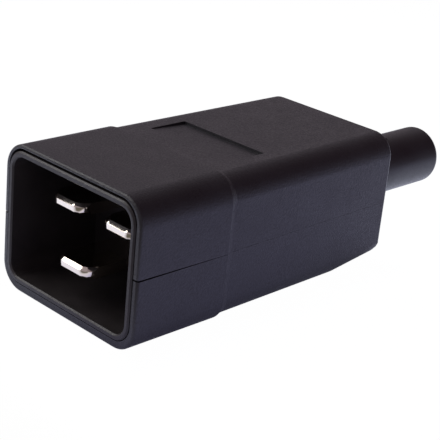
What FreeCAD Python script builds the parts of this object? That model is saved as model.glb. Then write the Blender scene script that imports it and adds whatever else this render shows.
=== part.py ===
import FreeCAD, Part
import math
import os

# A rewireable three-blade appliance plug, in millimetres, +Z up.
# The mating opening faces -Y and the cable sleeve points to +Y.
# While the pieces are shaped, y is 0 at the shroud's rim. At the end they are moved back by half the
# length, so that the origin lies under the middle of the plug, on the surface that it rests on.

Vec = FreeCAD.Vector

# Mating opening and the collar that lines it
opening_width = 29.0
opening_height = 21.2
opening_corner = 2.4
shroud_depth = 18.2
collar_wall = 1.05
collar_edge = 0.25
collar_proud = 0.25

# Play of the carrier in the shells: it sits on the lower shell
collar_gap_side = 0.2
collar_gap_bottom = 0.1
collar_gap_top = 0.45
carrier_gap = 0.15

# Carrier behind the opening's floor
floor_thickness = 1.0
neck_length = 3.0
neck_depth = 1.6
flange_length = 3.4
flange_depth = 1.0
barrier_thickness = 1.3
barrier_length = 10.0
barrier_half_width = 11.3
barrier_fin_height = 9.4
barrier_drop = 0.8

# Shells: the parting gap opens towards the rim, and the underside lifts towards the back
rim_side_wall = 1.0
rim_top_wall = 0.6
rim_bottom_wall = 1.45
rim_radius = 0.5
shell_wall = 2.0
step_depth = 0.4
step_length = 1.3
rear_taper = 1.4
rear_edge = 0.5
rear_wall = 2.5
rear_lift = 1.35
rear_lift_length = 12.3
lift_side_ease = 0.15
seam_gap_front = 0.3
seam_gap_rear = 0.04

# Lip on the lower shell and its groove in the upper one
lip_width = 0.85
lip_height = 1.0
lip_gap = 0.1

# Sloping label recess on top
label_start = 4.6
label_length = 8.05
label_width = 19.4
label_front_depth = 0.15
label_back_depth = 0.5

# Blades
blade_width = 8.0
blade_thickness = 2.0
blade_spacing = 13.0
live_blade_rise = 3.65
earth_blade_drop = 4.35
blade_gap = 0.05
tip_flat_width = 3.6
tip_flat_height = 0.85
tip_turn = math.radians(78)
tip_bevel_turns = (30, 60)
live_tip_setback = 4.2
earth_tip_setback = 0.8

# Blade tails and terminals behind the carrier
shoulder_width = 9.4
shoulder_length = 1.6
tail_width = 6.6
tail_corner = 0.8
terminal_setback = 5.8
tail_overhang = 5.4
earth_tail_overhang = 4.5
thread_block_width = 6.2
thread_block_height = 1.4
terminal_screw_radius = 2.0
terminal_screw_length = 6.0
terminal_head_radius = 3.4
terminal_head_height = 2.4

# Pressure plates
plate_length = 7.0
plate_thickness = 1.2
plate_lip = 1.0
plate_lip_drop = 1.4
plate_gap = 0.2

# Posts behind the tails, which take the push of the mating part
post_width = 3.6
post_thickness = 1.5
post_rib_thickness = 1.4
post_rib_length = 1.5
post_gap = 0.15
post_lap = 1.6

# Cord clamp
cord_radius = 3.9
clamp_bar_width = 5.2
clamp_bar_thickness = 2.2
clamp_bar_gap = 0.3
clamp_side_gap = 0.95
clamp_bar_end = 2.7
clamp_post_width = 6.0
clamp_saddle_thickness = 3.0
clamp_screw_radius = 1.4
clamp_screw_length = 7.0
clamp_head_radius = 2.6
clamp_head_height = 2.0

# Cable sleeve
sleeve_radius = 5.7
sleeve_bore_radius = 3.8
sleeve_length = 30.7
sleeve_end_bevel = 1.1
sleeve_drop = 0.9
sleeve_flange_radius = 7.4
sleeve_flange_length = 2.3
sleeve_gap = 0.1
sleeve_rib_thickness = 1.8
sleeve_rib_setback = 2.6

# Screws that hold the shells together, from below
shell_screw_radius = 1.5
shell_screw_length = 14.6
shell_head_radius = 2.6
shell_head_height = 2.0
shell_boss_radius = 3.5
shell_boss_side_gap = 0.65
shell_seat_height = 4.4
shell_screw_bottom_room = 1.0

# Shared small clearances and the screwdriver slot
screw_gap = 0.15
slot_width = 0.9
slot_depth = 1.0
overrun = 1.0
near_zero = 0.01

# Section of the body, built outwards from the opening
collar_width = opening_width + 2 * collar_wall
collar_height = opening_height + 2 * collar_wall
collar_corner = opening_corner + collar_wall
pocket_width = collar_width + 2 * collar_gap_side
pocket_height = collar_height + collar_gap_bottom + collar_gap_top
pocket_corner = collar_corner + collar_gap_side
front_width = pocket_width + 2 * rim_side_wall
front_height = pocket_height + rim_bottom_wall + rim_top_wall
front_corner = pocket_corner + rim_side_wall
split_z = front_height / 2
pocket_z = rim_bottom_wall + pocket_height / 2
carrier_z = rim_bottom_wall + collar_gap_bottom + collar_height / 2
live_z = carrier_z + live_blade_rise
earth_z = carrier_z - earth_blade_drop
sleeve_z = split_z - sleeve_drop

# Stations along the plug, measured from the rim
collar_end = shroud_depth + floor_thickness
neck_end = collar_end + neck_length
carrier_back = neck_end + flange_length
front_length = collar_end + carrier_gap
step_end = front_length + step_length
terminal_y = carrier_back + terminal_setback
live_tail_end = terminal_y + tail_overhang
earth_terminal_y = live_tail_end + plate_length / 2
earth_tail_end = earth_terminal_y + earth_tail_overhang
earth_post_end = earth_tail_end + post_gap + post_thickness
clamp_y = earth_post_end + clamp_bar_gap + clamp_bar_width / 2
shell_screw_y = clamp_y - clamp_bar_width / 2 - clamp_bar_gap - shell_boss_radius
sleeve_rib_y = clamp_y + clamp_bar_width / 2 + clamp_bar_gap + sleeve_rib_setback
sleeve_flange_y = sleeve_rib_y + sleeve_rib_thickness + sleeve_gap
rear_inner = sleeve_flange_y + sleeve_flange_length + sleeve_gap
body_length = rear_inner + rear_wall
total_length = collar_proud + body_length + sleeve_length
middle_y = total_length / 2 - collar_proud

# Section of the rear part of the body, where it starts
rear_width = front_width - 2 * step_depth
rear_height = front_height - 2 * step_depth
rear_corner = front_corner - step_depth


def rear_half_width(y):
    """Half of the rear part's outer width at a station."""
    share = (y - step_end) / (body_length - step_end)
    return (rear_width - share * rear_taper) / 2


# Levels and places that the inner pieces share
tip_radius = (blade_width - tip_flat_width) / 2 / math.sin(tip_turn)
underside = split_z - rear_height / 2
rear_top = split_z + rear_height / 2
live_tail_top = live_z + blade_thickness / 2
earth_tail_top = earth_z + blade_thickness / 2
clamp_screw_x = rear_half_width(clamp_y) - shell_wall - clamp_side_gap - clamp_bar_end
shell_boss_reach = rear_half_width(shell_screw_y) - shell_wall - shell_boss_side_gap
shell_screw_x = shell_boss_reach - shell_boss_radius
shell_screw_places = [(side * shell_screw_x, shell_screw_y) for side in (-1, 1)]
plate_half_width = tail_width / 2 + plate_gap + plate_lip
live_post_x = plate_half_width + plate_gap + post_width / 2
terminal_places = {
    "line": (-blade_spacing / 2, terminal_y, live_tail_top),
    "neutral": (blade_spacing / 2, terminal_y, live_tail_top),
    "earth": (0, earth_terminal_y, earth_tail_top),
}


def rounded_rectangle(width, height, radius, y, z_middle):
    """Upright closed outline with four round corners, square to the plug's length."""
    x = width / 2
    z = height / 2
    inset = radius * (1 - math.sqrt(0.5))
    arcs = []
    for turn, (sx, sz) in enumerate(((1, 1), (-1, 1), (-1, -1), (1, -1))):
        on_side = Vec(sx * x, y, z_middle + sz * (z - radius))
        on_level = Vec(sx * (x - radius), y, z_middle + sz * z)
        middle = Vec(sx * (x - inset), y, z_middle + sz * (z - inset))
        ends = (on_level, on_side) if turn % 2 else (on_side, on_level)
        arcs.append((ends[0], middle, ends[1]))
    edges = []
    for arc, following in zip(arcs, arcs[1:] + arcs[:1]):
        edges.append(Part.Arc(*arc).toShape())
        edges.append(Part.LineSegment(arc[2], following[0]).toShape())
    return Part.Wire(edges)


def prism(width, height, radius, y_start, y_end, z_middle):
    """Straight length of a round-cornered section."""
    face = Part.Face(rounded_rectangle(width, height, radius, y_start, z_middle))
    return face.extrude(Vec(0, y_end - y_start, 0))


def plate_from(points, depth):
    """Solid from a closed outline of straight sides, pushed along the given vector."""
    outline = Part.makePolygon(points + points[:1])
    return Part.Face(outline).extrude(depth)


def box(x_range, y_range, z_range):
    """Block between the given limits."""
    corner = Vec(x_range[0], y_range[0], z_range[0])
    size = (x_range[1] - x_range[0], y_range[1] - y_range[0], z_range[1] - z_range[0])
    return Part.makeBox(*size, corner)


def upright(radius, x, y, z_start, z_end):
    """Upright cylinder."""
    return Part.makeCylinder(radius, z_end - z_start, Vec(x, y, z_start))


def lengthwise(radius, y_start, y_end, z):
    """Cylinder along the plug, on its middle plane."""
    return Part.makeCylinder(radius, y_end - y_start, Vec(0, y_start, z), Vec(0, 1, 0))


def fused(shapes):
    """One solid from several that overlap."""
    return shapes[0].multiFuse(shapes[1:]).removeSplitter()


def edges_at(shape, y):
    """Edges that lie wholly in one plane across the plug."""
    return [
        edge
        for edge in shape.Edges
        if abs(edge.BoundBox.YMin - y) < near_zero and abs(edge.BoundBox.YMax - y) < near_zero
    ]


def long_edges(block, reach):
    """Edges that run along the plug at least as far out as the given half width."""
    return [
        edge
        for edge in block.Edges
        if edge.BoundBox.YLength > near_zero and min(abs(vertex.X) for vertex in edge.Vertexes) > reach
    ]


def tapered_block(inset, y_start, y_end, z_start, z_end):
    """Square-edged block that narrows like the rear part, moved inwards by an inset."""
    near = rear_half_width(y_start) - inset
    far = rear_half_width(y_end) - inset
    plan = [(-near, y_start), (near, y_start), (far, y_end), (-far, y_end)]
    return plate_from([Vec(x, y, z_start) for x, y in plan], Vec(0, 0, z_end - z_start))


def rear_form(inset, y_start, y_end):
    """Straight rear part between two stations, narrowing in plan, moved inwards by an inset."""
    block = tapered_block(inset, y_start, y_end, underside + inset, rear_top - inset)
    reach = rear_half_width(y_end) - inset - near_zero
    return block.makeFillet(rear_corner - inset, long_edges(block, reach))


def lifted_underside():
    """Space to take away under the back, so that the underside and its round edges rise there."""
    start = body_length - rear_lift_length
    slope = rear_lift / rear_lift_length
    near = start - rear_lift_length / 2
    far = body_length + 2 * overrun
    block = tapered_block(-lift_side_ease, near, far, -front_height, rear_top)
    floor = [(near, -2 * front_height), (far, -2 * front_height)]
    floor += [(far, underside + slope * (far - start)), (near, underside + slope * (near - start))]
    block = block.cut(plate_from([Vec(-front_width, y, z) for y, z in floor], Vec(2 * front_width, 0, 0)))
    reach = rear_half_width(far) - near_zero
    bottom_edges = [edge for edge in long_edges(block, reach) if edge.BoundBox.ZMax < split_z]
    rising = block.makeFillet(rear_corner + lift_side_ease, bottom_edges)
    slab = box((-front_width, front_width), (near + overrun, far - overrun), (-front_height, split_z))
    return slab.cut(rising)


def body_form():
    """Closed outer form of the body: front section, bevelled step, tapering rear."""
    front = prism(front_width, front_height, front_corner, 0, front_length, split_z)
    bevel_inset = 2 * step_depth
    bevel_outlines = [
        rounded_rectangle(front_width, front_height, front_corner, front_length, split_z),
        rounded_rectangle(
            front_width - 2 * bevel_inset,
            front_height - 2 * bevel_inset,
            front_corner - bevel_inset,
            front_length + 2 * step_length,
            split_z,
        ),
    ]
    bevel = Part.makeLoft(bevel_outlines, True, True)
    body = fused([front, bevel, rear_form(0, front_length - overrun, body_length)])
    body = body.cut(lifted_underside())
    body = body.makeChamfer(rear_edge, edges_at(body, body_length))
    return body.makeFillet(rim_radius, edges_at(body, 0))


def body_cavity():
    """Room inside the closed shells: collar pocket, neck, flange room and wiring room."""
    pocket = prism(pocket_width, pocket_height, pocket_corner, -overrun, front_length, pocket_z)
    neck = prism(
        collar_width - 2 * neck_depth + 2 * carrier_gap,
        collar_height - 2 * neck_depth + 2 * carrier_gap,
        collar_corner - neck_depth + carrier_gap,
        collar_end,
        carrier_back,
        carrier_z,
    )
    flange_room = prism(
        collar_width - 2 * flange_depth + 2 * carrier_gap,
        collar_height - 2 * flange_depth + 2 * carrier_gap,
        collar_corner - flange_depth + carrier_gap,
        neck_end - carrier_gap,
        carrier_back + carrier_gap,
        carrier_z,
    )
    wiring_room = rear_form(shell_wall, carrier_back, rear_inner)
    return fused([pocket, neck, flange_room, wiring_room])


def half_space(z_start, z_end):
    """Wide block that keeps one side of the parting plane."""
    reach = front_width
    return box((-reach, reach), (-overrun, body_length + overrun), (z_start, z_end))


def lip_ring(outer_inset, inner_inset, back_inset, z_start, z_end):
    """Band that runs round the wiring room along the parting plane."""
    start = carrier_back + carrier_gap
    outside = rear_form(outer_inset, start, body_length - back_inset)
    inside = rear_form(inner_inset, start - overrun, rear_inner - (inner_inset - shell_wall))
    return outside.cut(inside).common(half_space(z_start, z_end))


def sleeve_hole():
    """Hole in the back wall that the sleeve's neck sits in."""
    return lengthwise(sleeve_radius + sleeve_gap, rear_inner - sleeve_gap, body_length + overrun, sleeve_z)


def sleeve_rib(z_start, z_end):
    """Rib that stops the sleeve's flange, with a round pass for the cord."""
    reach = rear_half_width(sleeve_rib_y) - shell_wall / 2
    rib = box((-reach, reach), (sleeve_rib_y, sleeve_rib_y + sleeve_rib_thickness), (z_start, z_end))
    pass_radius = cord_radius + clamp_bar_gap
    return rib.cut(lengthwise(pass_radius, sleeve_rib_y - overrun, sleeve_flange_y + overrun, sleeve_z))


def tail_post(x, tail_end, tail_z):
    """T-shaped post on the lower shell, close behind the end of a blade's tail."""
    front = tail_end + post_gap
    back = front + post_thickness
    half = post_width / 2
    rib = post_rib_thickness / 2
    plan = [(-half, front), (half, front), (half, back), (rib, back), (rib, back + post_rib_length)]
    plan += [(-rib, back + post_rib_length), (-rib, back), (-half, back)]
    top = tail_z - blade_thickness / 2 + post_lap
    return plate_from([Vec(x + px, py, underside) for px, py in plan], Vec(0, 0, top - underside))


def clamp_saddle():
    """Cradle under the cord, between the two posts of the cord clamp."""
    half = clamp_saddle_thickness / 2
    block = box((-clamp_screw_x, clamp_screw_x), (clamp_y - half, clamp_y + half), (underside, sleeve_z))
    return block.cut(lengthwise(cord_radius, clamp_y - body_length, clamp_y + body_length, sleeve_z))


def clamp_post(x):
    """Block under one foot of the cord clamp's bar."""
    across = clamp_post_width / 2
    deep = clamp_bar_width / 2
    return box((x - across, x + across), (clamp_y - deep, clamp_y + deep), (underside, sleeve_z))


def lower_shell(body, cavity):
    """Lower half: wall, lip, posts, cord clamp seat, sleeve rib and screw bosses."""
    wall = body.cut(cavity).common(half_space(-overrun, split_z))
    inner = [tail_post(side * live_post_x, live_tail_end, live_z) for side in (-1, 1)]
    inner.append(tail_post(0, earth_tail_end, earth_z))
    inner.append(clamp_saddle())
    inner.append(sleeve_rib(underside, split_z))
    inner += [clamp_post(side * clamp_screw_x) for side in (-1, 1)]
    for x, y in shell_screw_places:
        inner.append(upright(shell_boss_radius, x, y, underside, split_z))
    inner = [piece.common(body) for piece in inner]
    lip = lip_ring(shell_wall - lip_width, shell_wall, rear_wall - lip_width, split_z, split_z + lip_height)
    cuts = [sleeve_hole()]
    for x, y in shell_screw_places:
        cuts.append(upright(shell_screw_radius + screw_gap, x, y, -overrun, split_z + overrun))
        cuts.append(upright(shell_head_radius + screw_gap, x, y, -overrun, shell_seat_height))
    clamp_hole_end = sleeve_z + clamp_bar_thickness - clamp_screw_length - screw_gap
    for side in (-1, 1):
        hole_radius = clamp_screw_radius + screw_gap
        cuts.append(upright(hole_radius, side * clamp_screw_x, clamp_y, clamp_hole_end, split_z))
    return fused([wall, lip] + inner).cut(Part.makeCompound(cuts)).removeSplitter()


def upper_shell(body, cavity):
    """Upper half: wall with label recess, groove for the lip, sleeve rib and screw bosses."""
    roof = split_z + front_height / 2
    wall = body.cut(cavity).common(half_space(split_z, roof + overrun))
    start = -overrun
    end = body_length + overrun
    seam_outline = [
        Vec(-front_width, start, split_z - overrun),
        Vec(-front_width, start, split_z + seam_gap_front),
        Vec(-front_width, step_end, split_z + seam_gap_rear),
        Vec(-front_width, end, split_z + seam_gap_rear),
        Vec(-front_width, end, split_z - overrun),
    ]
    wall = wall.cut(plate_from(seam_outline, Vec(2 * front_width, 0, 0)))
    inner = [sleeve_rib(split_z, roof)]
    for x, y in shell_screw_places:
        inner.append(upright(shell_boss_radius, x, y, split_z, roof))
    inner = [piece.common(body) for piece in inner]
    label_front = step_end + label_start
    label_back = label_front + label_length
    label_outline = [
        Vec(-label_width / 2, label_front, rear_top - label_front_depth),
        Vec(-label_width / 2, label_back, rear_top - label_back_depth),
        Vec(-label_width / 2, label_back, roof + overrun),
        Vec(-label_width / 2, label_front, roof + overrun),
    ]
    groove_inset = shell_wall - lip_width - lip_gap
    groove_back = rear_wall - lip_width - lip_gap
    groove_top = split_z + lip_height + lip_gap
    cuts = [
        plate_from(label_outline, Vec(label_width, 0, 0)),
        lip_ring(groove_inset, shell_wall + lip_gap, groove_back, split_z - overrun, groove_top),
        sleeve_hole(),
    ]
    hole_end = shell_seat_height + shell_screw_length + shell_screw_bottom_room
    for x, y in shell_screw_places:
        cuts.append(upright(shell_screw_radius + screw_gap, x, y, split_z - overrun, hole_end))
    return fused([wall] + inner).cut(Part.makeCompound(cuts)).removeSplitter()


def pin_carrier():
    """Insert with the shroud's collar, the floor that the blades pass and the barriers behind."""
    collar = prism(collar_width, collar_height, collar_corner, -collar_proud, collar_end, carrier_z)
    room = prism(opening_width, opening_height, opening_corner, -overrun, shroud_depth, carrier_z)
    collar = collar.cut(room)
    collar = collar.makeChamfer(collar_edge, edges_at(collar, -collar_proud))
    neck = prism(
        collar_width - 2 * neck_depth,
        collar_height - 2 * neck_depth,
        collar_corner - neck_depth,
        shroud_depth,
        carrier_back,
        carrier_z,
    )
    flange = prism(
        collar_width - 2 * flange_depth,
        collar_height - 2 * flange_depth,
        collar_corner - flange_depth,
        neck_end,
        carrier_back,
        carrier_z,
    )
    half = barrier_thickness / 2
    web_top = carrier_z - barrier_drop
    web_bottom = web_top - barrier_thickness
    fin_top = carrier_z + barrier_fin_height
    section = [(-barrier_half_width, web_bottom), (barrier_half_width, web_bottom)]
    section += [(barrier_half_width, web_top), (half, web_top), (half, fin_top)]
    section += [(-half, fin_top), (-half, web_top), (-barrier_half_width, web_top)]
    barrier = plate_from([Vec(x, neck_end, z) for x, z in section], Vec(0, flange_length + barrier_length, 0))
    slots = []
    for x, z in ((-blade_spacing / 2, live_z), (blade_spacing / 2, live_z), (0, earth_z)):
        across = blade_width / 2 + blade_gap
        high = blade_thickness / 2 + blade_gap
        slot_reach = (shroud_depth - overrun, carrier_back + overrun)
        slots.append(box((x - across, x + across), slot_reach, (z - high, z + high)))
    return fused([collar, neck, flange, barrier]).cut(Part.makeCompound(slots)).removeSplitter()


def blade_outline(x, z, tip_y, tail_end):
    """Plan of a blade: flat tip with round corners, shoulder behind the carrier, tail with cut corners."""
    tip_end = tip_y + tip_radius * (1 - math.cos(tip_turn))
    arc_x = tip_flat_width / 2 + tip_radius * math.sin(tip_turn / 2)
    arc_y = tip_y + tip_radius * (1 - math.cos(tip_turn / 2))
    half_plan = [
        (blade_width / 2, tip_end),
        (blade_width / 2, carrier_back),
        (shoulder_width / 2, carrier_back),
        (shoulder_width / 2, carrier_back + shoulder_length),
        (tail_width / 2, carrier_back + shoulder_length),
        (tail_width / 2, tail_end - tail_corner),
        (tail_width / 2 - tail_corner, tail_end),
    ]
    plan = half_plan + [(-px, py) for px, py in reversed(half_plan)]
    points = [Vec(x + px, py, z) for px, py in plan]
    flat = [Vec(x + side * tip_flat_width / 2, tip_y, z) for side in (-1, 1)]
    edges = [
        Part.LineSegment(flat[0], flat[1]).toShape(),
        Part.Arc(flat[1], Vec(x + arc_x, arc_y, z), points[0]).toShape(),
    ]
    edges += Part.makePolygon(points).Edges
    edges.append(Part.Arc(points[-1], Vec(x - arc_x, arc_y, z), flat[0]).toShape())
    return Part.Wire(edges)


def bevelled_slab(x, z, tip_y, side, turn):
    """Long slab with a bevelled front edge, turned about the middle of one of the tip's corners."""
    bevel = (blade_thickness - tip_flat_height) / 2
    half_side = [
        (tip_flat_height / 2, tip_y),
        (blade_thickness / 2, tip_y + bevel),
        (blade_thickness / 2, tip_y + total_length),
    ]
    section = half_side + [(-pz, py) for pz, py in reversed(half_side)]
    slab = plate_from([Vec(x - total_length, py, z + pz) for pz, py in section], Vec(2 * total_length, 0, 0))
    corner_middle = Vec(x + side * tip_flat_width / 2, tip_y + tip_radius, z)
    slab.rotate(corner_middle, Vec(0, 0, 1), side * turn)
    return slab


def blade_pin(x, z, tip_y, screw_y, tail_end):
    """Blade whose tip bevel follows the round corners, with a threaded block under its tail."""
    face = Part.Face(blade_outline(x, z - blade_thickness, tip_y, tail_end))
    strip = face.extrude(Vec(0, 0, 2 * blade_thickness)).common(bevelled_slab(x, z, tip_y, 1, 0))
    for side in (-1, 1):
        for turn in tip_bevel_turns:
            strip = strip.common(bevelled_slab(x, z, tip_y, side, turn))
    reach = thread_block_width / 2
    block_bottom = z - blade_thickness / 2 - thread_block_height
    thread_block = box((x - reach, x + reach), (screw_y - reach, screw_y + reach), (block_bottom, z))
    hole = upright(terminal_screw_radius + blade_gap, x, screw_y, block_bottom - overrun, z + blade_thickness)
    return fused([strip, thread_block]).cut(hole)


def clamp_plate(x, y, seat_z):
    """Pressure plate, a shallow channel that sits over the tail and can't turn on it."""
    inner = tail_width / 2 + plate_gap
    outer = plate_half_width
    top = seat_z + plate_thickness
    low = seat_z - plate_lip_drop
    section = [(-outer, low), (-inner, low), (-inner, seat_z), (inner, seat_z), (inner, low)]
    section += [(outer, low), (outer, top), (-outer, top)]
    start = y - plate_length / 2
    channel = plate_from([Vec(x + px, start, pz) for px, pz in section], Vec(0, plate_length, 0))
    return channel.cut(upright(terminal_screw_radius + screw_gap, x, y, seat_z - overrun, top + overrun))


def slotted_screw(head_radius, head_height, shank_radius, shank_length):
    """Turned screw with a slotted cheese head, standing head up with the head's seat at the origin."""
    half_section = [
        (0, head_height),
        (head_radius, head_height),
        (head_radius, 0),
        (shank_radius, 0),
        (shank_radius, -shank_length),
        (0, -shank_length),
    ]
    points = [Vec(r, 0, z) for r, z in half_section]
    face = Part.Face(Part.makePolygon(points + points[:1]))
    turned = face.revolve(Vec(0, 0, 0), Vec(0, 0, 1), 360)
    half = slot_width / 2
    reach = (-head_radius - overrun, head_radius + overrun)
    return turned.cut(box(reach, (-half, half), (head_height - slot_depth, head_height + overrun)))


def placed(shape, x, y, z, flipped=False):
    """Copy of a shape at a place, head down if flipped."""
    copy = shape.copy()
    if flipped:
        copy.rotate(Vec(0, 0, 0), Vec(1, 0, 0), 180)
    copy.translate(Vec(x, y, z))
    return copy


def cord_clamp_bar():
    """Arched bar over the cord, with a foot on each post."""
    reach = clamp_screw_x + clamp_bar_end
    low = sleeve_z
    high = sleeve_z + clamp_bar_thickness
    arch = cord_radius + clamp_bar_thickness
    foot = math.sqrt(arch**2 - clamp_bar_thickness**2)
    start = clamp_y - clamp_bar_width / 2

    def point(x, z):
        return Vec(x, start, z)

    edges = [
        Part.LineSegment(point(-reach, low), point(-cord_radius, low)),
        Part.Arc(point(-cord_radius, low), point(0, low + cord_radius), point(cord_radius, low)),
        Part.LineSegment(point(cord_radius, low), point(reach, low)),
        Part.LineSegment(point(reach, low), point(reach, high)),
        Part.LineSegment(point(reach, high), point(foot, high)),
        Part.Arc(point(foot, high), point(0, low + arch), point(-foot, high)),
        Part.LineSegment(point(-foot, high), point(-reach, high)),
        Part.LineSegment(point(-reach, high), point(-reach, low)),
    ]
    face = Part.Face(Part.Wire([edge.toShape() for edge in edges]))
    bar = face.extrude(Vec(0, clamp_bar_width, 0))
    hole_radius = clamp_screw_radius + screw_gap
    hole_reach = (low - overrun, high + overrun)
    holes = [upright(hole_radius, side * clamp_screw_x, clamp_y, *hole_reach) for side in (-1, 1)]
    return bar.cut(Part.makeCompound(holes))


def cable_sleeve():
    """Rubber sleeve: flange inside the back wall, round tube outside, open right through."""
    end = body_length + sleeve_length
    flange_end = sleeve_flange_y + sleeve_flange_length
    half_section = [
        (sleeve_bore_radius, sleeve_flange_y),
        (sleeve_flange_radius, sleeve_flange_y),
        (sleeve_flange_radius, flange_end),
        (sleeve_radius, flange_end),
        (sleeve_radius, end - sleeve_end_bevel),
        (sleeve_radius - sleeve_end_bevel, end),
        (sleeve_bore_radius, end),
    ]
    points = [Vec(radius, y, sleeve_z) for radius, y in half_section]
    face = Part.Face(Part.makePolygon(points + points[:1]))
    return face.revolve(Vec(0, 0, sleeve_z), Vec(0, 1, 0), 360)


def terminal_screws():
    """Three alike, one on each pressure plate."""
    screw = slotted_screw(
        terminal_head_radius, terminal_head_height, terminal_screw_radius, terminal_screw_length
    )
    places = terminal_places.values()
    return Part.makeCompound([placed(screw, x, y, z + plate_thickness) for x, y, z in places])


def cord_clamp_screws():
    """Two alike, on the ears of the cord clamp."""
    screw = slotted_screw(clamp_head_radius, clamp_head_height, clamp_screw_radius, clamp_screw_length)
    seat = sleeve_z + clamp_bar_thickness
    return Part.makeCompound([placed(screw, side * clamp_screw_x, clamp_y, seat) for side in (-1, 1)])


def shell_screws():
    """Two alike, head down in their recesses under the lower shell."""
    screw = slotted_screw(shell_head_radius, shell_head_height, shell_screw_radius, shell_screw_length)
    return Part.makeCompound([placed(screw, x, y, shell_seat_height, True) for x, y in shell_screw_places])


def main():
    """Make every piece and write it in the plug's own frame."""
    body = body_form()
    cavity = body_cavity()
    half_spacing = blade_spacing / 2
    pieces = {
        "upper_shell": upper_shell(body, cavity),
        "lower_shell": lower_shell(body, cavity),
        "pin_carrier": pin_carrier(),
        "line_pin": blade_pin(-half_spacing, live_z, live_tip_setback, terminal_y, live_tail_end),
        "neutral_pin": blade_pin(half_spacing, live_z, live_tip_setback, terminal_y, live_tail_end),
        "earth_pin": blade_pin(0, earth_z, earth_tip_setback, earth_terminal_y, earth_tail_end),
        "terminal_screws": terminal_screws(),
        "cord_clamp_bar": cord_clamp_bar(),
        "cord_clamp_screws": cord_clamp_screws(),
        "shell_screws": shell_screws(),
        "cable_sleeve": cable_sleeve(),
    }
    for name, place in terminal_places.items():
        pieces[name + "_clamp_plate"] = clamp_plate(*place)
    os.makedirs("parts", exist_ok=True)
    for name, shape in pieces.items():
        shape.translate(Vec(0, -middle_y, 0))
        shape.exportStep("parts/" + name + ".step")
        volumes = [round(solid.Volume, 1) for solid in shape.Solids]
        print(name, "valid" if shape.isValid() else "NOT VALID", volumes)
    print("body length", body_length, "total length", total_length, "front", front_width, front_height)


main()
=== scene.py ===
"""Finishes and studio for a straight appliance plug with flat blades in a deep shroud.

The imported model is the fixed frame: its nodes keep their place and form, get rounded edges
and procedural finishes, and stand on a pale floor in soft light. Lengths are in metres.
"""

import math

import bpy
from bpy.props import FloatProperty, FloatVectorProperty, PointerProperty
from mathutils import Matrix, Vector


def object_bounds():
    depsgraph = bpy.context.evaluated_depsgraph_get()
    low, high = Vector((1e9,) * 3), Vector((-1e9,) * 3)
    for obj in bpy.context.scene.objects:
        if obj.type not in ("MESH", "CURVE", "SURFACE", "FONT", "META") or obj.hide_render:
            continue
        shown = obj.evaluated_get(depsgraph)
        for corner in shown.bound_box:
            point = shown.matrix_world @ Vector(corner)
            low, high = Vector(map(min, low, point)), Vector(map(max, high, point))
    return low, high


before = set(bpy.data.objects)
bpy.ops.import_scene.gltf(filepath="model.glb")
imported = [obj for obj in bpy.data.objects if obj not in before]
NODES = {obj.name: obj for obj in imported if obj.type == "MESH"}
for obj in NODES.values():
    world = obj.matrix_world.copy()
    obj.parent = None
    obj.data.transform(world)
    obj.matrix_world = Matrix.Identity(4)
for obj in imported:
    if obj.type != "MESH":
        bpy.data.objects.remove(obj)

bl_info = {
    "name": "Appliance Plug Finishes",
    "version": (1, 0, 0),
    "blender": (4, 5, 0),
    "location": "View3D > Sidebar > Plug",
    "description": "Rounds, finishes and lights a rewireable appliance plug",
    "category": "Object",
}

CAD_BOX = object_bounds()

SHELLS = ("upper_shell", "lower_shell")
INNER_MOULDINGS = ("pin_carrier", "cord_clamp_bar")
BLADES = ("line_pin", "neutral_pin", "earth_pin")
CLAMP_PLATES = ("line_clamp_plate", "neutral_clamp_plate", "earth_clamp_plate")
SCREWS = ("terminal_screws", "cord_clamp_screws", "shell_screws")

# Joining of faces, and steps of the rounds
WELD_REACH = 2e-6
EDGE_STEPS = 2
RIM_STEPS = 4
SLEEVE_STEPS = 5
SHADING_WEIGHT = 60

# Edges of the shells with a round of their own, known by how far they turn and where they lie
RIM_TURN = (math.radians(40), math.radians(50))
RIM_Y = (0.0145, 0.0160)
STEP_TURN = (math.radians(16.3), math.radians(18))
STEP_X = (0.0155, 0.0200)

# Spans of a noise, a cosine or an openness that the shared effects stretch over a whole mask
CLOUD_SPAN = (0.30, 0.70)
# The rub spans shape a mask of rub and painted edge sheen on proud edges
RUB_SHEEN_COSINE = (0.995, 0.90)
RUB_SHEEN_OPENNESS = (0.85, 0.98)
RUB_SHEEN_PATCHES = (0.40, 0.66)
DUST_SPECKS = (0.69, 0.78)
DUST_DRIFT = (0.42, 0.70)
DUST_UPWARD = (0.45, 0.95)
LINE_TONES = (0.32, 0.68)

# Other values of the shared effects
RUB_SHEEN_SAMPLES = 6
RUB_SHEEN_AIR_REACH = 0.0006
DUST_DRIFT_SCALE = 110.0
LINE_TONE_SCALE = 420.0

# Plastic: strength of rub with painted edge sheen, and of dust, and the grain's share in roughness and relief
RUB_AND_SHEEN_STRENGTH = 0.55
DUST_STRENGTH = 0.40
PIT_HEIGHTS = (0.30, 0.70)
PIT_ROUGHNESS = (1.30, 0.70)
GRAIN_DEPTH = 0.0001
CARRIER_BLOOM = 1.5
SLEEVE_BLOOM = 1.4

# Metal: reach and brightness of the lighter edges, worn and with a painted glint, and depth of the lines
WORN_GLINT_REACH = 0.0003
WORN_GLINT_GAIN = 1.12
LINE_DEPTH = 0.00001

# Floor: its matt skin, its drop below the plug, and the share of it that the camera sees as plain white
FLOOR_MOTTLE_SCALE = 60.0
FLOOR_MOTTLE_GAIN = 1.03
FLOOR_ROUGHNESS = 0.9
FLOOR_DROP = 0.00002
FLOOR_WHITE_SHARE = 0.98
WHITE_STRENGTH = 1.01

# Zones of the floor: the way in which each lies from the origin, and where it begins and is full
FRONT = (0.0, -1.0, 0.0)
RIGHT = (1.0, 0.0, 0.0)
LEFT = (-0.95, 0.30, 0.0)
FRONT_ZONE = (0.050, 0.062)
FAR_FRONT_ZONE = (0.061, 0.073)
RIGHT_ZONE = (-0.018, 0.002)
LEFT_ZONE = (-0.024, 0.006)
FAR_ZONE = (0.085, 0.30)

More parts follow.
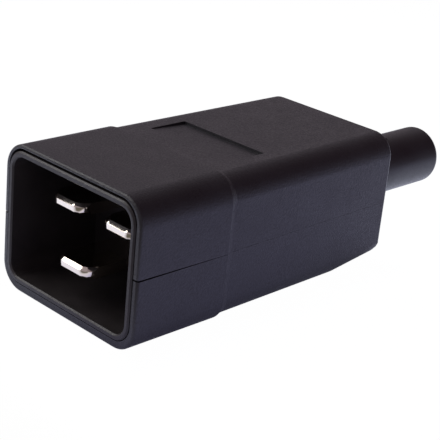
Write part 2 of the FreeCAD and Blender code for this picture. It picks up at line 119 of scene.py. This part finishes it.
# Shade on the floor around the plug's body
BODY_MIDDLE = (0.0, -0.0143, 0.0)
BODY_HALF_SIZE = (0.0160, 0.0300, 0.0)
BODY_SHADE_REACH = 0.0075
BODY_SHADE = 0.75
BLACK = (0.0, 0.0, 0.0)

# Dark side of the room: its direction, and the cosines where it begins and is full
ROOM_DARK_WAY = (0.42, 0.60, 0.68)
ROOM_DARK_COSINE = (0.55, 0.92)

# Camera: sensor in millimetres, and the nearest depth that it sees
SENSOR_WIDTH = 36.0
NEAREST_DEPTH = 0.01

# Places of the colour sockets of a Mix node, which has sockets of one name for each type
MIX_COLOURS = (6, 7)
MIX_RESULT = 2


class PlugEdgeSizes(bpy.types.PropertyGroup):
    """Rounds on the edges of the pieces, and the angles from which an edge is rounded"""

    shell: FloatProperty(
        name="Shell Edge", description="Round on the edges of the two moulded shells",
        default=0.00003, min=0.0, unit="LENGTH",
    )
    rear_rim: FloatProperty(
        name="Rear Rim", description="Round on the edges of the bevel around the shells' rear wall",
        default=0.00032, min=0.0001, unit="LENGTH",
    )
    carrier: FloatProperty(
        name="Carrier Edge", description="Round on the edges of the blade carrier and its collar",
        default=0.00004, min=0.0, unit="LENGTH",
    )
    blade: FloatProperty(
        name="Blade Edge", description="Round on the stamped edges of the blades",
        default=0.00005, min=0.0, unit="LENGTH",
    )
    metal: FloatProperty(
        name="Metal Edge", description="Round on the clamp plates and screws",
        default=0.00006, min=0.0, unit="LENGTH",
    )
    sleeve: FloatProperty(
        name="Sleeve Edge", description="Round on the rubber sleeve's end and flange",
        default=0.0005, min=0.0, unit="LENGTH",
    )
    sharp_angle: FloatProperty(
        name="Sharp Angle", description="Edges that turn by more than this are rounded",
        default=math.radians(28), subtype="ANGLE",
    )
    blade_angle: FloatProperty(
        name="Blade Angle", description="The same on the blades, whose tips have flatter slopes",
        default=math.radians(16.3), subtype="ANGLE",
    )


class PlugColours(bpy.types.PropertyGroup):
    """Base colours of the finishes"""

    shell: FloatVectorProperty(
        name="Shell", description="Black of the moulded shells",
        default=(0.0100, 0.0098, 0.0125), size=3, min=0.0, max=1.0, subtype="COLOR",
    )
    shell_bloom: FloatVectorProperty(
        name="Shell Bloom", description="Lighter cloudy tone on the shells",
        default=(0.0160, 0.0156, 0.0190), size=3, min=0.0, max=1.0, subtype="COLOR",
    )
    carrier: FloatVectorProperty(
        name="Carrier", description="Black of the blade carrier and the cord clamp's bar",
        default=(0.0140, 0.0117, 0.0118), size=3, min=0.0, max=1.0, subtype="COLOR",
    )
    sleeve: FloatVectorProperty(
        name="Sleeve", description="Black of the rubber sleeve",
        default=(0.0110, 0.0105, 0.0125), size=3, min=0.0, max=1.0, subtype="COLOR",
    )
    # Tone of rub, and also a painted edge sheen: lighter plastic on proud edges
    rub: FloatVectorProperty(
        name="Edge Rub", description="Greyed tone of rubbed plastic edges",
        default=(0.055, 0.053, 0.055), size=3, min=0.0, max=1.0, subtype="COLOR",
    )
    dust: FloatVectorProperty(
        name="Dust", description="Tone of the dust that settles on upper faces",
        default=(0.20, 0.19, 0.18), size=3, min=0.0, max=1.0, subtype="COLOR",
    )
    nickel: FloatVectorProperty(
        name="Nickel", description="Bright plating of the blades",
        default=(0.80, 0.73, 0.63), size=3, min=0.0, max=1.0, subtype="COLOR",
    )
    brass: FloatVectorProperty(
        name="Brass", description="Pressed clamp plates",
        default=(0.72, 0.56, 0.30), size=3, min=0.0, max=1.0, subtype="COLOR",
    )
    zinc: FloatVectorProperty(
        name="Zinc", description="Plating of the screws",
        default=(0.58, 0.58, 0.60), size=3, min=0.0, max=1.0, subtype="COLOR",
    )


class PlugStudio(bpy.types.PropertyGroup):
    """Floor, room, light and camera"""

    floor_width: FloatProperty(
        name="Floor Width", description="Side of the square floor", default=6.0, unit="LENGTH",
    )
    floor: FloatVectorProperty(
        name="Floor", description="Matt skin of the floor",
        default=(0.30, 0.30, 0.32), size=3, min=0.0, max=1.0, subtype="COLOR",
    )
    # Painted shade: a darker floor colour far out at the front right
    floor_painted_shade: FloatVectorProperty(
        name="Floor Dim", description="Matt skin of the floor far out at the front right",
        default=(0.03, 0.03, 0.03), size=3, min=0.0, max=1.0, subtype="COLOR",
    )
    floor_glow: FloatVectorProperty(
        name="Floor Glow", description="Cool light that the floor sheet passes from below, on the right",
        default=(0.485, 0.485, 0.77), size=3, min=0.0, max=2.0, subtype="COLOR",
    )
    floor_glow_front: FloatVectorProperty(
        name="Floor Glow Front", description="Light that the floor sheet passes before the blades",
        default=(0.64, 0.63, 0.74), size=3, min=0.0, max=2.0, subtype="COLOR",
    )
    floor_glow_dim: FloatVectorProperty(
        name="Floor Glow Dim", description="Little light of the floor sheet far out at the front right",
        default=(0.13, 0.12, 0.10), size=3, min=0.0, max=2.0, subtype="COLOR",
    )
    floor_glow_left: FloatVectorProperty(
        name="Floor Glow Left", description="Stronger light that the floor sheet passes on the left",
        default=(0.93, 0.98, 1.21), size=3, min=0.0, max=2.0, subtype="COLOR",
    )
    floor_glow_far: FloatVectorProperty(
        name="Floor Glow Far", description="Little light of the floor sheet far from the plug",
        default=(0.10, 0.09, 0.11), size=3, min=0.0, max=2.0, subtype="COLOR",
    )
    room: FloatVectorProperty(
        name="Room", description="Soft grey of the room",
        default=(0.36, 0.31, 0.35), size=3, min=0.0, max=2.0, subtype="COLOR",
    )
    room_dark: FloatVectorProperty(
        name="Room Dark", description="Dark side of the room, at the back right",
        default=(0.10, 0.05, 0.065), size=3, min=0.0, max=2.0, subtype="COLOR",
    )
    key_power: FloatProperty(
        name="Key Power", description="Power of the large soft light at the front left",
        default=5.4, unit="POWER",
    )
    key_width: FloatProperty(
        name="Key Width", description="Side of the large soft light", default=0.72, unit="LENGTH",
    )
    key_place: FloatVectorProperty(
        name="Key Place", description="Middle of the large soft light", size=3,
        default=(-0.56, -0.42, 0.66), subtype="TRANSLATION", unit="LENGTH",
    )
    azimuth: FloatProperty(
        name="Camera Azimuth", description="Turn of the camera about the upright axis",
        default=math.radians(43.031), subtype="ANGLE",
    )
    elevation: FloatProperty(
        name="Camera Elevation", description="Height of the camera above the horizon",
        default=math.radians(21.964), subtype="ANGLE",
    )
    roll: FloatProperty(
        name="Camera Roll", description="Lean of the camera about its line of sight",
        default=math.radians(5.747), subtype="ANGLE",
    )
    distance: FloatProperty(
        name="Camera Distance", description="From the camera to the point that it looks at",
        default=0.22453, unit="LENGTH",
    )
    aim: FloatVectorProperty(
        name="Camera Aim", description="Point that the camera looks at", size=3,
        default=(0.000617, -0.012130, 0.010038), subtype="TRANSLATION", unit="LENGTH",
    )
    lens: FloatProperty(
        name="Lens", description="Focal length on a 36 mm wide sensor",
        default=103.90, unit="CAMERA",
    )


def add_node(tree, kind, **settings):
    """A new node of that kind, with its plain settings."""
    node = tree.nodes.new(kind)
    for name, value in settings.items():
        setattr(node, name, value)
    return node


def noise(tree, coordinates, scale, detail, softness):
    """Noise over the part's own frame; scale is a number or a socket that gives it."""
    node = add_node(tree, "ShaderNodeTexNoise")
    node.inputs["Detail"].default_value = detail
    node.inputs["Roughness"].default_value = softness
    tree.links.new(coordinates, node.inputs["Vector"])
    if isinstance(scale, (int, float)):
        node.inputs["Scale"].default_value = scale
    else:
        tree.links.new(scale, node.inputs["Scale"])
    return node.outputs["Fac"]


def remap(tree, value, low, high, to_low=0.0, to_high=1.0):
    """A value stretched from one range to another, and held within it."""
    node = add_node(tree, "ShaderNodeMapRange", clamp=True)
    for name, number in (("From Min", low), ("From Max", high), ("To Min", to_low), ("To Max", to_high)):
        node.inputs[name].default_value = number
    tree.links.new(value, node.inputs["Value"])
    return node.outputs["Result"]


def times(tree, first, second):
    """Product of a socket with a socket or a number."""
    node = add_node(tree, "ShaderNodeMath", operation="MULTIPLY")
    tree.links.new(first, node.inputs[0])
    if isinstance(second, (int, float)):
        node.inputs[1].default_value = second
    else:
        tree.links.new(second, node.inputs[1])
    return node.outputs[0]


def between(tree, value, low, high):
    """Mask of the places where a value lies between two numbers."""
    above = add_node(tree, "ShaderNodeMath", operation="GREATER_THAN")
    below = add_node(tree, "ShaderNodeMath", operation="LESS_THAN")
    for node, number in ((above, low), (below, high)):
        tree.links.new(value, node.inputs[0])
        node.inputs[1].default_value = number
    return times(tree, above.outputs[0], below.outputs[0])


def along(tree, place, direction):
    """How far a place lies along a direction."""
    node = add_node(tree, "ShaderNodeVectorMath", operation="DOT_PRODUCT")
    tree.links.new(place, node.inputs[0])
    node.inputs[1].default_value = direction
    return node.outputs["Value"]


def tint(tree, mask, low, high):
    """Colour between two tones by a mask; each tone is a colour or a socket."""
    node = add_node(tree, "ShaderNodeMix", data_type="RGBA")
    tree.links.new(mask, node.inputs["Factor"])
    for place, tone in zip(MIX_COLOURS, (low, high)):
        if isinstance(tone, bpy.types.NodeSocket):
            tree.links.new(tone, node.inputs[place])
        else:
            node.inputs[place].default_value = (*tone, 1.0)
    return node.outputs[MIX_RESULT]


def toned(colour, gain):
    """A colour made lighter or darker, and held to full white."""
    return [min(1.0, tone * gain) for tone in colour]


def blend_shaders(tree, mask, first, second):
    """The first shader where the mask is 0, and the second where it is 1."""
    node = add_node(tree, "ShaderNodeMixShader")
    tree.links.new(mask, node.inputs["Fac"])
    tree.links.new(first, node.inputs[1])
    tree.links.new(second, node.inputs[2])
    return node.outputs["Shader"]


def new_group(name, inputs, outputs):
    """An empty shader node group with named number sockets: inputs as (name, default) pairs."""
    group = bpy.data.node_groups.new(name, "ShaderNodeTree")
    for label, default in inputs:
        socket = group.interface.new_socket(label, in_out="INPUT", socket_type="NodeSocketFloat")
        socket.default_value = default
    for label in outputs:
        group.interface.new_socket(label, in_out="OUTPUT", socket_type="NodeSocketFloat")
    return group, add_node(group, "NodeGroupInput").outputs, add_node(group, "NodeGroupOutput").inputs


def moulded_grain_group():
    """Fine spark-eroded grain of a moulding, and the slow cloudiness of its skin."""
    group, given, result = new_group(
        "moulded_grain", (("Grain Scale", 5200.0), ("Cloud Scale", 150.0)), ("Height", "Cloud"))
    place = add_node(group, "ShaderNodeTexCoord").outputs["Object"]
    grain = noise(group, place, given["Grain Scale"], detail=3.0, softness=0.6)
    group.links.new(grain, result["Height"])
    cloud = noise(group, place, given["Cloud Scale"], detail=4.0, softness=0.62)
    group.links.new(remap(group, cloud, *CLOUD_SPAN), result["Cloud"])
    return group


def edge_rub_and_sheen_group():
    """Mask of rub and painted edge sheen that grows on edges that stand proud, broken up as handling leaves
    it.
    """
    group, given, result = new_group(
        "edge_rub_and_sheen", (("Reach", 0.0004), ("Break Up", 700.0)), ("Mask",))
    wide = add_node(group, "ShaderNodeBevel", samples=RUB_SHEEN_SAMPLES)
    group.links.new(given["Reach"], wide.inputs["Radius"])
    turn = add_node(group, "ShaderNodeVectorMath", operation="DOT_PRODUCT")
    group.links.new(wide.outputs["Normal"], turn.inputs[0])
    group.links.new(add_node(group, "ShaderNodeNewGeometry").outputs["Normal"], turn.inputs[1])
    edge = remap(group, turn.outputs["Value"], *RUB_SHEEN_COSINE)
    air = add_node(group, "ShaderNodeAmbientOcclusion", samples=RUB_SHEEN_SAMPLES, only_local=True)
    air.inputs["Distance"].default_value = RUB_SHEEN_AIR_REACH
    proud = times(group, edge, remap(group, air.outputs["AO"], *RUB_SHEEN_OPENNESS))
    place = add_node(group, "ShaderNodeTexCoord").outputs["Object"]
    broken = noise(group, place, given["Break Up"], detail=4.0, softness=0.65)
    group.links.new(times(group, proud, remap(group, broken, *RUB_SHEEN_PATCHES)), result["Mask"])
    return group


def settled_dust_group():
    """Mask of sparse fine specks on faces that look up."""
    group, given, result = new_group("settled_dust", (("Speck Scale", 2600.0),), ("Mask",))
    place = add_node(group, "ShaderNodeTexCoord").outputs["Object"]
    specks = noise(group, place, given["Speck Scale"], detail=2.0, softness=0.5)
    drift = noise(group, place, DUST_DRIFT_SCALE, detail=3.0, softness=0.6)
    settled = times(group, remap(group, specks, *DUST_SPECKS), remap(group, drift, *DUST_DRIFT))
    split = add_node(group, "ShaderNodeSeparateXYZ")
    group.links.new(add_node(group, "ShaderNodeNewGeometry").outputs["Normal"], split.inputs["Vector"])
    upward = remap(group, split.outputs["Z"], *DUST_UPWARD)
    group.links.new(times(group, settled, upward), result["Mask"])
    return group


def drawn_lines_group():
    """Fine lengthwise lines of drawn or rolled metal, and their slow change of tone."""
    group, given, result = new_group(
        "drawn_lines", (("Line Scale", 9000.0), ("Lengthwise", 0.02)), ("Height", "Tone"))
    place = add_node(group, "ShaderNodeTexCoord").outputs["Object"]
    stretch = add_node(group, "ShaderNodeCombineXYZ")
    stretch.inputs["X"].default_value = 1.0
    stretch.inputs["Z"].default_value = 1.0
    group.links.new(given["Lengthwise"], stretch.inputs["Y"])
    stretched = add_node(group, "ShaderNodeVectorMath", operation="MULTIPLY")
    group.links.new(place, stretched.inputs[0])
    group.links.new(stretch.outputs["Vector"], stretched.inputs[1])
    lines = noise(group, stretched.outputs["Vector"], given["Line Scale"], detail=3.0, softness=0.6)
    group.links.new(lines, result["Height"])
    tone = noise(group, place, LINE_TONE_SCALE, detail=4.0, softness=0.6)
    group.links.new(remap(group, tone, *LINE_TONES), result["Tone"])
    return group


EFFECTS = {
    "moulded_grain": moulded_grain_group,
    "edge_rub_and_sheen": edge_rub_and_sheen_group,
    "settled_dust": settled_dust_group,
    "drawn_lines": drawn_lines_group,
}


def effect(tree, name, **values):
    """Places a shared effect in a material with its own values, and builds it at first use."""
    node = add_node(tree, "ShaderNodeGroup", node_tree=bpy.data.node_groups.get(name) or EFFECTS[name]())
    for label, value in values.items():
        node.inputs[label.replace("_", " ").title()].default_value = value
    return node.outputs


def new_finish(name):
    """A material with an empty tree, its Principled shader and its output joined."""
    material = bpy.data.materials.new(name)
    material.use_nodes = True
    tree = material.node_tree
    tree.nodes.clear()
    shader = add_node(tree, "ShaderNodeBsdfPrincipled")
    output = add_node(tree, "ShaderNodeOutputMaterial")
    tree.links.new(shader.outputs["BSDF"], output.inputs["Surface"])
    return material, tree, shader.inputs


def bump(tree, height, strength, depth, normal):
    """Relief of that depth on the shader's normal."""
    node = add_node(tree, "ShaderNodeBump")
    node.inputs["Strength"].default_value = strength
    node.inputs["Distance"].default_value = depth
    tree.links.new(height, node.inputs["Height"])
    tree.links.new(node.outputs["Normal"], normal)


def plastic(name, colours, tones, roughness, specular, grain_scale, relief):
    """Black moulding: clouded tone, rubbed edges with a painted edge sheen, a few specks of dust and a fine
    grain.
    """
    material, tree, shader = new_finish(name)
    grain = effect(tree, "moulded_grain", grain_scale=grain_scale)
    rubbed_and_sheen = effect(tree, "edge_rub_and_sheen")["Mask"]
    specks = effect(tree, "settled_dust")["Mask"]
    skin = tint(tree, grain["Cloud"], *tones)
    # Painted edge sheen with rub: a lighter tone on proud edges
    skin = tint(tree, times(tree, rubbed_and_sheen, RUB_AND_SHEEN_STRENGTH), skin, colours.rub)
    skin = tint(tree, times(tree, specks, DUST_STRENGTH), skin, colours.dust)
    tree.links.new(skin, shader["Base Color"])
    satin = remap(tree, grain["Cloud"], 0.0, 1.0, *roughness)
    pits = remap(tree, grain["Height"], *PIT_HEIGHTS, *PIT_ROUGHNESS)
    tree.links.new(times(tree, satin, pits), shader["Roughness"])
    shader["Specular IOR Level"].default_value = specular
    bump(tree, grain["Height"], relief, GRAIN_DEPTH, shader["Normal"])
    return material


def metal(name, colour, roughness, dull, relief, line_scale):
    """Plated or rolled metal: fine lengthwise lines, slow clouds of a duller tone, and lighter edges that are
    worn and carry a painted glint.
    """
    material, tree, shader = new_finish(name)
    lines = effect(tree, "drawn_lines", line_scale=line_scale)
    # Painted glint with wear: a lighter colour on proud edges
    worn_and_glint = effect(tree, "edge_rub_and_sheen", reach=WORN_GLINT_REACH)["Mask"]
    skin = tint(tree, lines["Tone"], colour, toned(colour, dull))
    tree.links.new(tint(tree, worn_and_glint, skin, toned(colour, WORN_GLINT_GAIN)), shader["Base Color"])
    tree.links.new(remap(tree, lines["Tone"], 0.0, 1.0, *roughness), shader["Roughness"])
    shader["Metallic"].default_value = 1.0
    bump(tree, lines["Height"], relief, LINE_DEPTH, shader["Normal"])
    return material


def shared(name, make, *sources, **values):
    """A finish by name, made once."""
    return bpy.data.materials.get(name) or make(name, *sources, **values)


def soft_edges_group(sizes):
    """Bevel weights: full for the rear rim, and small for the step, which stays crisp, on the sides."""
    group = bpy.data.node_groups.new("soft_edges", "GeometryNodeTree")
    for way in ("INPUT", "OUTPUT"):
        group.interface.new_socket("Geometry", in_out=way, socket_type="NodeSocketGeometry")
    turn = add_node(group, "GeometryNodeInputMeshEdgeAngle").outputs["Unsigned Angle"]
    place = add_node(group, "ShaderNodeSeparateXYZ")
    group.links.new(add_node(group, "GeometryNodeInputPosition").outputs["Position"], place.inputs["Vector"])
    sideways = add_node(group, "ShaderNodeMath", operation="ABSOLUTE")
    group.links.new(place.outputs["X"], sideways.inputs[0])
    rim = times(group, between(group, turn, *RIM_TURN), between(group, place.outputs["Y"], *RIM_Y))
    step = times(group, between(group, turn, *STEP_TURN), between(group, sideways.outputs[0], *STEP_X))
    weight = add_node(group, "ShaderNodeMath", operation="ADD")
    group.links.new(rim, weight.inputs[0])
    group.links.new(times(group, step, sizes.shell / sizes.rear_rim), weight.inputs[1])
    store = add_node(group, "GeometryNodeStoreNamedAttribute", data_type="FLOAT", domain="EDGE")
    store.inputs["Name"].default_value = "bevel_weight_edge"
    group.links.new(add_node(group, "NodeGroupInput").outputs["Geometry"], store.inputs["Geometry"])
    group.links.new(weight.outputs[0], store.inputs["Value"])
    group.links.new(store.outputs["Geometry"], add_node(group, "NodeGroupOutput").inputs["Geometry"])
    return group


def soften(piece, sizes):
    """Gives the chosen edges of a shell the rounds of their own."""
    choice = piece.modifiers.new("soft_edges", "NODES")
    choice.node_group = bpy.data.node_groups.get("soft_edges") or soft_edges_group(sizes)
    edges = piece.modifiers.new("softened_edges", "BEVEL")
    edges.width = sizes.rear_rim
    edges.segments = RIM_STEPS
    edges.limit_method = "WEIGHT"
    edges.use_clamp_overlap = False


def dress(node_name, material, width, angle, steps=EDGE_STEPS, soft_sizes=None):
    """Gives a node its finish, and rounds its edges without moving or changing its own mesh."""
    piece = NODES[node_name]
    piece.data.materials.clear()
    piece.data.materials.append(material)
    weld = piece.modifiers.new("joined_faces", "WELD")
    weld.merge_threshold = WELD_REACH
    if soft_sizes:
        soften(piece, soft_sizes)
    edges = piece.modifiers.new("rounded_edges", "BEVEL")
    edges.width = width
    edges.segments = steps
    edges.limit_method = "ANGLE"
    edges.angle_limit = angle
    edges.miter_outer = "MITER_ARC"
    smooth = piece.modifiers.new("even_shading", "WEIGHTED_NORMAL")
    smooth.weight = SHADING_WEIGHT
    smooth.keep_sharp = False


class PLUG_OT_dress_shells(bpy.types.Operator):
    """Black satin moulding on the two half shells"""

    bl_idname = "plug.dress_shells"
    bl_label = "Dress Shells"

    def execute(self, context):
        colours, sizes = context.scene.plug_colours, context.scene.plug_edge_sizes
        finish = shared(
            "shell_satin_black", plastic, colours, tones=(colours.shell, colours.shell_bloom),
            roughness=(0.36, 0.46), specular=0.5, grain_scale=3200.0, relief=0.90)
        for name in SHELLS:
            dress(name, finish, sizes.shell, sizes.sharp_angle, soft_sizes=sizes)
        return {"FINISHED"}


class PLUG_OT_dress_carrier(bpy.types.Operator):
    """Smoother black moulding on the carrier that holds the blades, and on the cord clamp's bar"""

    bl_idname = "plug.dress_carrier"
    bl_label = "Dress Carrier"

    def execute(self, context):
        colours, sizes = context.scene.plug_colours, context.scene.plug_edge_sizes
        finish = shared(
            "carrier_matte_black", plastic, colours,
            tones=(colours.carrier, toned(colours.carrier, CARRIER_BLOOM)),
            roughness=(0.38, 0.48), specular=0.42, grain_scale=4200.0, relief=0.30)
        for name in INNER_MOULDINGS:
            dress(name, finish, sizes.carrier, sizes.sharp_angle)
        return {"FINISHED"}


class PLUG_OT_dress_blades(bpy.types.Operator):
    """Bright nickel on the three flat blades"""

    bl_idname = "plug.dress_blades"
    bl_label = "Dress Blades"

    def execute(self, context):
        colours, sizes = context.scene.plug_colours, context.scene.plug_edge_sizes
        finish = shared(
            "blade_bright_nickel", metal, colours.nickel,
            roughness=(0.05, 0.13), dull=0.90, relief=0.06, line_scale=9000.0)
        for name in BLADES:
            dress(name, finish, sizes.blade, sizes.blade_angle)
        return {"FINISHED"}


class PLUG_OT_dress_terminals(bpy.types.Operator):
    """Plain pressed brass on the clamp plates, zinc on all screws"""

    bl_idname = "plug.dress_terminals"
    bl_label = "Dress Terminals"

    def execute(self, context):
        colours, sizes = context.scene.plug_colours, context.scene.plug_edge_sizes
        brass = shared(
            "plate_pressed_brass", metal, colours.brass,
            roughness=(0.26, 0.40), dull=0.78, relief=0.18, line_scale=5000.0)
        zinc = shared(
            "screw_zinc_plate", metal, colours.zinc,
            roughness=(0.28, 0.42), dull=0.80, relief=0.12, line_scale=7000.0)
        for names, finish in ((CLAMP_PLATES, brass), (SCREWS, zinc)):
            for name in names:
                dress(name, finish, sizes.metal, sizes.sharp_angle)
        return {"FINISHED"}


class PLUG_OT_dress_sleeve(bpy.types.Operator):
    """Smooth satin rubber on the cable sleeve, with its end well rounded"""

    bl_idname = "plug.dress_sleeve"
    bl_label = "Dress Sleeve"

    def execute(self, context):
        colours, sizes = context.scene.plug_colours, context.scene.plug_edge_sizes
        finish = shared(
            "sleeve_satin_rubber", plastic, colours,
            tones=(colours.sleeve, toned(colours.sleeve, SLEEVE_BLOOM)),
            roughness=(0.34, 0.44), specular=0.45, grain_scale=3800.0, relief=0.14)
        dress("cable_sleeve", finish, sizes.sleeve, sizes.sharp_angle, steps=SLEEVE_STEPS)
        return {"FINISHED"}


def camera_axes(studio):
    """Right, up and backward axes of the camera, leaned by its roll."""
    turn, lift = studio.azimuth, studio.elevation
    back = Vector((math.sin(turn) * math.cos(lift), -math.cos(turn) * math.cos(lift), math.sin(lift)))
    right = Vector((math.cos(turn), math.sin(turn), 0.0))
    up = back.cross(right)
    lean_cos, lean_sin = math.cos(studio.roll), math.sin(studio.roll)
    return lean_cos * right + lean_sin * up, lean_cos * up - lean_sin * right, back


def add_camera(scene, studio):
    """The camera at its angle and distance from the point that it looks at."""
    data = bpy.data.cameras.new("studio_camera")
    data.lens = studio.lens
    data.sensor_width = SENSOR_WIDTH
    data.clip_start = NEAREST_DEPTH
    camera = bpy.data.objects.new("studio_camera", data)
    right, up, back = camera_axes(studio)
    place = Matrix((right, up, back)).transposed().to_4x4()
    place.translation = Vector(studio.aim) + back * studio.distance
    camera.matrix_world = place
    scene.collection.objects.link(camera)
    scene.camera = camera


def white_light(tree, kind):
    """Plain white that the camera sees, from an Emission or a Background node."""
    node = add_node(tree, kind)
    node.inputs["Color"].default_value = (1.0, 1.0, 1.0, 1.0)
    node.inputs["Strength"].default_value = WHITE_STRENGTH
    return node.outputs[0]


def floor_zone(tree, place, direction, span):
    """Mask of the floor that grows along a direction."""
    return remap(tree, along(tree, place, direction), *span)


def body_nearness(tree, place):
    """Mask of the floor under and close around the plug's body, where little light reaches it."""
    centred = add_node(tree, "ShaderNodeVectorMath", operation="SUBTRACT")
    tree.links.new(place, centred.inputs[0])
    centred.inputs[1].default_value = BODY_MIDDLE
    folded = add_node(tree, "ShaderNodeVectorMath", operation="ABSOLUTE")
    tree.links.new(centred.outputs["Vector"], folded.inputs[0])
    outside = add_node(tree, "ShaderNodeVectorMath", operation="SUBTRACT")
    tree.links.new(folded.outputs["Vector"], outside.inputs[0])
    outside.inputs[1].default_value = BODY_HALF_SIZE
    split = add_node(tree, "ShaderNodeSeparateXYZ")
    tree.links.new(outside.outputs["Vector"], split.inputs["Vector"])
    farther = add_node(tree, "ShaderNodeMath", operation="MAXIMUM")
    tree.links.new(split.outputs["X"], farther.inputs[0])
    tree.links.new(split.outputs["Y"], farther.inputs[1])
    return remap(tree, farther.outputs[0], BODY_SHADE_REACH, 0.0)


def floor_glow(tree, place, dim, studio):
    """Light that the floor sheet passes, by zones; the plug reflects it, and the camera sees next to none."""
    front = floor_zone(tree, place, FRONT, FRONT_ZONE)
    right = tint(tree, front, studio.floor_glow, studio.floor_glow_front)
    right = tint(tree, dim, right, studio.floor_glow_dim)
    left = floor_zone(tree, place, LEFT, LEFT_ZONE)
    glow = tint(tree, left, right, studio.floor_glow_left)
    reach = add_node(tree, "ShaderNodeVectorMath", operation="LENGTH")
    tree.links.new(place, reach.inputs[0])
    glow = tint(tree, remap(tree, reach.outputs["Value"], *FAR_ZONE), glow, studio.floor_glow_far)
    return tint(tree, times(tree, body_nearness(tree, place), BODY_SHADE), glow, BLACK)


def floor_finish(studio):
    """Pale matt floor that shows nearly white, with only a breath of shadow, and is clear from below."""
    material, tree, shader = new_finish("studio_floor_pale")
    place = add_node(tree, "ShaderNodeTexCoord").outputs["Object"]
    # Painted shade: the floor's colour and glow are darker far out at the front right
    far_front = floor_zone(tree, place, FRONT, FAR_FRONT_ZONE)
    dim = times(tree, far_front, floor_zone(tree, place, RIGHT, RIGHT_ZONE))
    mottle = noise(tree, place, FLOOR_MOTTLE_SCALE, detail=3.0, softness=0.6)
    skin = tint(tree, mottle, studio.floor, toned(studio.floor, FLOOR_MOTTLE_GAIN))
    tree.links.new(tint(tree, dim, skin, studio.floor_painted_shade), shader["Base Color"])
    tree.links.new(floor_glow(tree, place, dim, studio), shader["Emission Color"])
    shader["Emission Strength"].default_value = 1.0
    shader["Roughness"].default_value = FLOOR_ROUGHNESS
    shader["Specular IOR Level"].default_value = 0.0
    surface = tree.get_output_node("ALL").inputs["Surface"]
    matt = surface.links[0].from_socket
    seen = add_node(tree, "ShaderNodeLightPath").outputs["Is Camera Ray"]
    white = white_light(tree, "ShaderNodeEmission")
    above = blend_shaders(tree, times(tree, seen, FLOOR_WHITE_SHARE), matt, white)
    from_below = add_node(tree, "ShaderNodeNewGeometry").outputs["Backfacing"]
    clear = add_node(tree, "ShaderNodeBsdfTransparent").outputs["BSDF"]
    tree.links.new(blend_shaders(tree, from_below, above, clear), surface)
    return material


def add_floor(scene, studio):
    """A square floor under the lowest point of the plug."""
    half = studio.floor_width / 2
    level = CAD_BOX[0].z - FLOOR_DROP
    corners = [(x * half, y * half, level) for x, y in ((-1, -1), (1, -1), (1, 1), (-1, 1))]
    mesh = bpy.data.meshes.new("studio_floor")
    mesh.from_pydata(corners, [], [(0, 1, 2, 3)])
    mesh.materials.append(floor_finish(studio))
    floor = bpy.data.objects.new("studio_floor", mesh)
    scene.collection.objects.link(floor)


def add_key_light(scene, studio):
    """One large soft light, aimed at the plug."""
    data = bpy.data.lights.new("key_softbox", "AREA")
    data.shape = "SQUARE"
    data.size = studio.key_width
    data.energy = studio.key_power
    light = bpy.data.objects.new("key_softbox", data)
    place = Vector(studio.key_place)
    light.location = place
    light.rotation_mode = "QUATERNION"
    light.rotation_quaternion = (sum(CAD_BOX, Vector()) / 2 - place).to_track_quat("-Z", "Y")
    scene.collection.objects.link(light)


def add_room(scene, studio):
    """Soft grey room around the set, dark at the back right and white where the camera sees it."""
    world = bpy.data.worlds.new("studio_room")
    world.use_nodes = True
    scene.world = world
    tree = world.node_tree
    tree.nodes.clear()
    ray = add_node(tree, "ShaderNodeTexCoord").outputs["Generated"]
    dark = remap(tree, along(tree, ray, Vector(ROOM_DARK_WAY).normalized()), *ROOM_DARK_COSINE)
    walls = add_node(tree, "ShaderNodeBackground")
    tree.links.new(tint(tree, dark, studio.room, studio.room_dark), walls.inputs["Color"])
    backdrop = white_light(tree, "ShaderNodeBackground")
    seen = add_node(tree, "ShaderNodeLightPath").outputs["Is Camera Ray"]
    output = add_node(tree, "ShaderNodeOutputWorld")
    tree.links.new(blend_shaders(tree, seen, walls.outputs["Background"], backdrop), output.inputs["Surface"])


class PLUG_OT_build_studio(bpy.types.Operator):
    """Pale floor, soft light, room and camera"""

    bl_idname = "plug.build_studio"
    bl_label = "Build Studio"

    def execute(self, context):
        scene = context.scene
        studio = scene.plug_studio
        scene.view_settings.view_transform = "Standard"
        add_camera(scene, studio)
        add_floor(scene, studio)
        add_key_light(scene, studio)
        add_room(scene, studio)
        return {"FINISHED"}


OPERATORS = (
    PLUG_OT_dress_shells,
    PLUG_OT_dress_carrier,
    PLUG_OT_dress_blades,
    PLUG_OT_dress_terminals,
    PLUG_OT_dress_sleeve,
    PLUG_OT_build_studio,
)


class PLUG_PT_finishes(bpy.types.Panel):
    """Lists the steps that dress the plug"""

    bl_idname = "PLUG_PT_finishes"
    bl_label = "Appliance Plug"
    bl_space_type = "VIEW_3D"
    bl_region_type = "UI"
    bl_category = "Plug"

    def draw(self, context):
        for operator in OPERATORS:
            self.layout.operator(operator.bl_idname)


SETTINGS = {
    "plug_edge_sizes": PlugEdgeSizes,
    "plug_colours": PlugColours,
    "plug_studio": PlugStudio,
}
CLASSES = (*SETTINGS.values(), *OPERATORS, PLUG_PT_finishes)


def register():
    """Registers the settings, the operators and the panel."""
    for item in CLASSES:
        bpy.utils.register_class(item)
    for name, kind in SETTINGS.items():
        setattr(bpy.types.Scene, name, PointerProperty(type=kind))


def unregister():
    """Takes back what register added."""
    for name in SETTINGS:
        delattr(bpy.types.Scene, name)
    for item in reversed(CLASSES):
        bpy.utils.unregister_class(item)


def main():
    """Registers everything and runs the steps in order."""
    register()
    bpy.ops.plug.dress_shells()
    bpy.ops.plug.dress_carrier()
    bpy.ops.plug.dress_blades()
    bpy.ops.plug.dress_terminals()
    bpy.ops.plug.dress_sleeve()
    bpy.ops.plug.build_studio()


if __name__ == "__main__":
    main()
